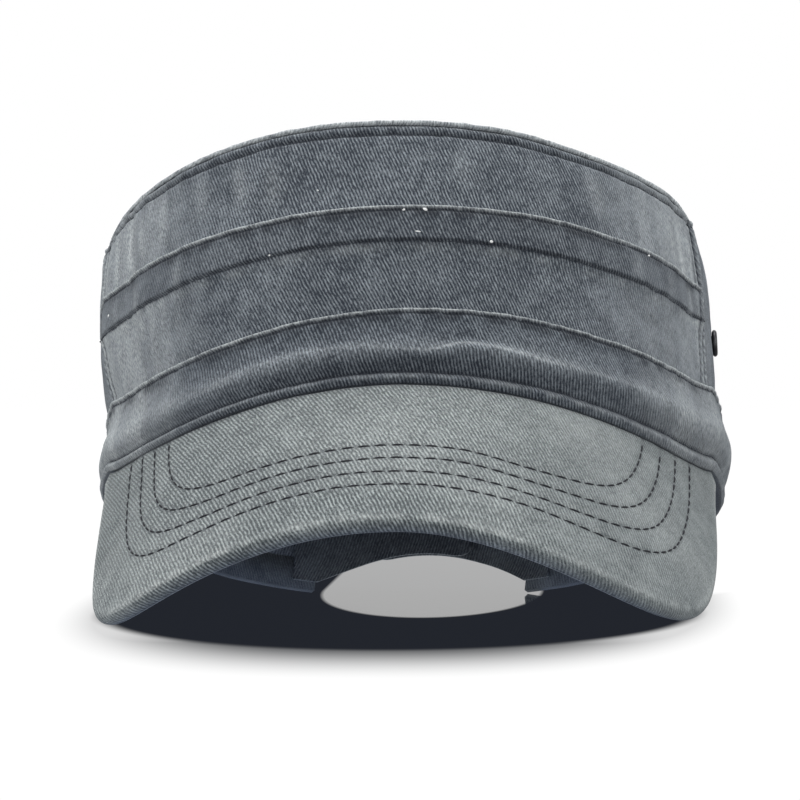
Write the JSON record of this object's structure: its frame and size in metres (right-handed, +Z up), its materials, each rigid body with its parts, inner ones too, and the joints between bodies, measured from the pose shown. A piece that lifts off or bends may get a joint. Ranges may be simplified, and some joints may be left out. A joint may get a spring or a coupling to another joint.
{
  "type": "patrol cap",
  "caption": "Flat-topped patrol cap of washed cotton twill with a curved stitched peak, a folded band, side eyelets and a strapped opening at the back.",
  "frame": {"origin": "on the table, under the middle of the cap's bounding box", "axes": "+X towards the right of the cap as the picture shows it, -Y the way the peak points, +Z up; the cap rests on the tips of its peak and the rear corners of its band"},
  "size_m": [0.1886, 0.2536, 0.1409],
  "materials": {
    "panel_cloth": "washed cotton twill",
    "band_cloth": "washed cotton twill",
    "peak_cloth": "washed cotton twill, faded lighter",
    "strap_cloth": "washed cotton twill",
    "dark_metal": "dark gunmetal, satin"
  },
  "bodies": {
    "root": {"top_panel": "panel_cloth", "front_upper": "panel_cloth", "front_lower": "panel_cloth", "side_left": "panel_cloth", "side_right": "panel_cloth", "band": "band_cloth", "peak_top": "peak_cloth", "peak_under": "peak_cloth", "strap_left": "strap_cloth", "strap_right": "strap_cloth", "eyelet_left": "dark_metal", "eyelet_right": "dark_metal"}
  },
  "joints": []
}
